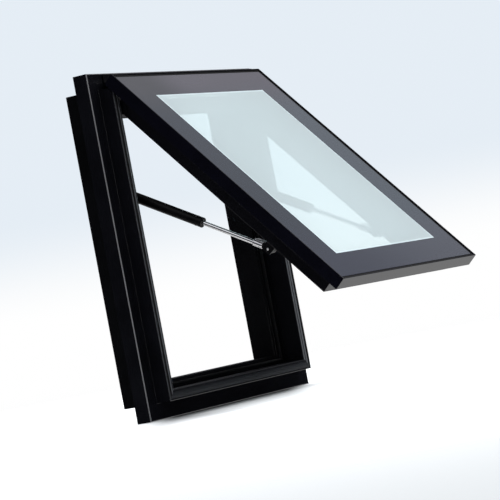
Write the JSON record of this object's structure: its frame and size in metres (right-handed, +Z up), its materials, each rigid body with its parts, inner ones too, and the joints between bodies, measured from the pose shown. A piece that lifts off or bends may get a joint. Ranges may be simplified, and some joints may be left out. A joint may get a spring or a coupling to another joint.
{
  "type": "roof skylight",
  "caption": "Top-hung roof skylight: mitred aluminium frame and liner, double-glazed sash held open on two gas struts, inside handle and latch.",
  "frame": {"origin": "middle of the roof opening, in the plane where the frame's flange bears on the roof", "axes": "+X across the width, +Y into the building, +Z up the slope; the outside looks along -Y"},
  "size_m": [0.7, 0.584, 0.75],
  "materials": {
    "frame_paint": "black powder coat, satin",
    "liner_paint": "black powder coat, satin",
    "lining_paint": "dark grey powder coat, satin",
    "cover_paint": "black powder coat, satin",
    "sash_paint": "grey powder coat, satin",
    "rail_paint": "grey powder coat, satin",
    "outer_glass": "toughened glass with a dark printed border",
    "inner_glass": "clear float glass",
    "spacer": "matt",
    "sealant": "matt",
    "gasket_rubber": "matt, extruded",
    "thermal_break": "glass-filled polyamide",
    "cleat": "mill finish",
    "hinge_paint": "black powder coat, satin",
    "hinge_pin": "ground",
    "fastener_steel": "zinc-plated",
    "strut_tube_paint": "black enamel, gloss",
    "rod_chrome": "ground and polished",
    "sleeve_chrome": "polished",
    "socket_plastic": "moulded, fine texture",
    "bracket_paint": "black powder coat",
    "clip_steel": "spring steel",
    "handle_plastic": "moulded, satin",
    "latch_steel": "zinc-plated"
  },
  "bodies": {
    "frame": {"corner_cleats_flange": "cleat", "corner_cleats_liner": "cleat", "frame_head": "frame_paint", "frame_jamb_left": "frame_paint", "frame_jamb_right": "frame_paint", "frame_screws": "frame_paint", "frame_sill": "frame_paint", "head_lining": "lining_paint", "hinge_frame_leaf": "hinge_paint", "hinge_pin": "hinge_pin", "jamb_lining_left": "lining_paint", "jamb_lining_right": "lining_paint", "latch_keeper": "latch_steel", "ledge_gasket": "gasket_rubber", "liner_head": "liner_paint", "liner_jamb_left": "liner_paint", "liner_jamb_right": "liner_paint", "liner_sill": "liner_paint", "rim_gasket": "gasket_rubber", "roof_bolt_nuts": "fastener_steel", "strut_bracket_jamb_left": "bracket_paint", "strut_bracket_jamb_right": "bracket_paint", "stud_clips": "clip_steel", "thermal_break": "thermal_break"},
    "sash": {"corner_cleats_sash": "cleat", "cover_head": "cover_paint", "cover_left": "cover_paint", "cover_right": "cover_paint", "cover_sill": "cover_paint", "edge_sealant": "sealant", "glass_inner": "inner_glass", "glass_outer": "outer_glass", "glazing_gasket": "gasket_rubber", "glazing_seal": "gasket_rubber", "handle_base": "handle_plastic", "hinge_sash_leaf": "hinge_paint", "sash_head": "sash_paint", "sash_screws": "fastener_steel", "sash_sill": "sash_paint", "sash_stile_left": "sash_paint", "sash_stile_right": "sash_paint", "spacer_bar": "spacer", "stile_rail_left": "rail_paint", "stile_rail_right": "rail_paint", "strut_bracket_sash_left": "bracket_paint", "strut_bracket_sash_right": "bracket_paint"},
    "handle": {"handle_lever": "handle_plastic", "latch_cam": "latch_steel"},
    "strut_piston_left": {"rod_socket_left": "socket_plastic", "strut_rod_left": "rod_chrome", "strut_sleeve_left": "sleeve_chrome"},
    "strut_piston_right": {"rod_socket_right": "socket_plastic", "strut_rod_right": "rod_chrome", "strut_sleeve_right": "sleeve_chrome"},
    "strut_cylinder_left": {"strut_gland_left": "strut_tube_paint", "strut_tube_left": "strut_tube_paint", "tube_eye_left": "socket_plastic"},
    "strut_cylinder_right": {"strut_gland_right": "strut_tube_paint", "strut_tube_right": "strut_tube_paint", "tube_eye_right": "socket_plastic"}
  },
  "joints": [
    {"name": "sash_hinge", "type": "hinge", "parent": "frame", "child": "sash", "pos_m": [0, -0.056, 0.352], "axis": [1, 0, 0], "range_deg": [0, 41.4]},
    {"name": "handle_turn", "type": "hinge", "parent": "sash", "child": "handle", "pos_m": [0, -0.43874, -0.14111], "axis": [0, -0.7501, 0.6613], "range_deg": [-90, 0]},
    {"name": "strut_pivot_left", "type": "hinge", "parent": "frame", "child": "strut_cylinder_left", "pos_m": [-0.2425, 0.015, 0.129], "axis": [1, 0, 0], "range_deg": [0, 59.75]},
    {"name": "strut_slide_left", "type": "slide", "parent": "strut_cylinder_left", "child": "strut_piston_left", "axis": [0, -0.8793, -0.4763], "range_m": [-0.12715, 0]},
    {"name": "strut_pivot_right", "type": "hinge", "parent": "frame", "child": "strut_cylinder_right", "pos_m": [0.2425, 0.015, 0.129], "axis": [1, 0, 0], "range_deg": [0, 59.75]},
    {"name": "strut_slide_right", "type": "slide", "parent": "strut_cylinder_right", "child": "strut_piston_right", "axis": [0, -0.8793, -0.4763], "range_m": [-0.12715, 0]}
  ],
  "couplings": [
    {"joint": "strut_pivot_left", "follows": "sash_hinge", "ratio": 1.443},
    {"joint": "strut_slide_left", "follows": "sash_hinge", "m_per_rad": -0.17596},
    {"joint": "strut_pivot_right", "follows": "sash_hinge", "ratio": 1.443},
    {"joint": "strut_slide_right", "follows": "sash_hinge", "m_per_rad": -0.17596}
  ]
}
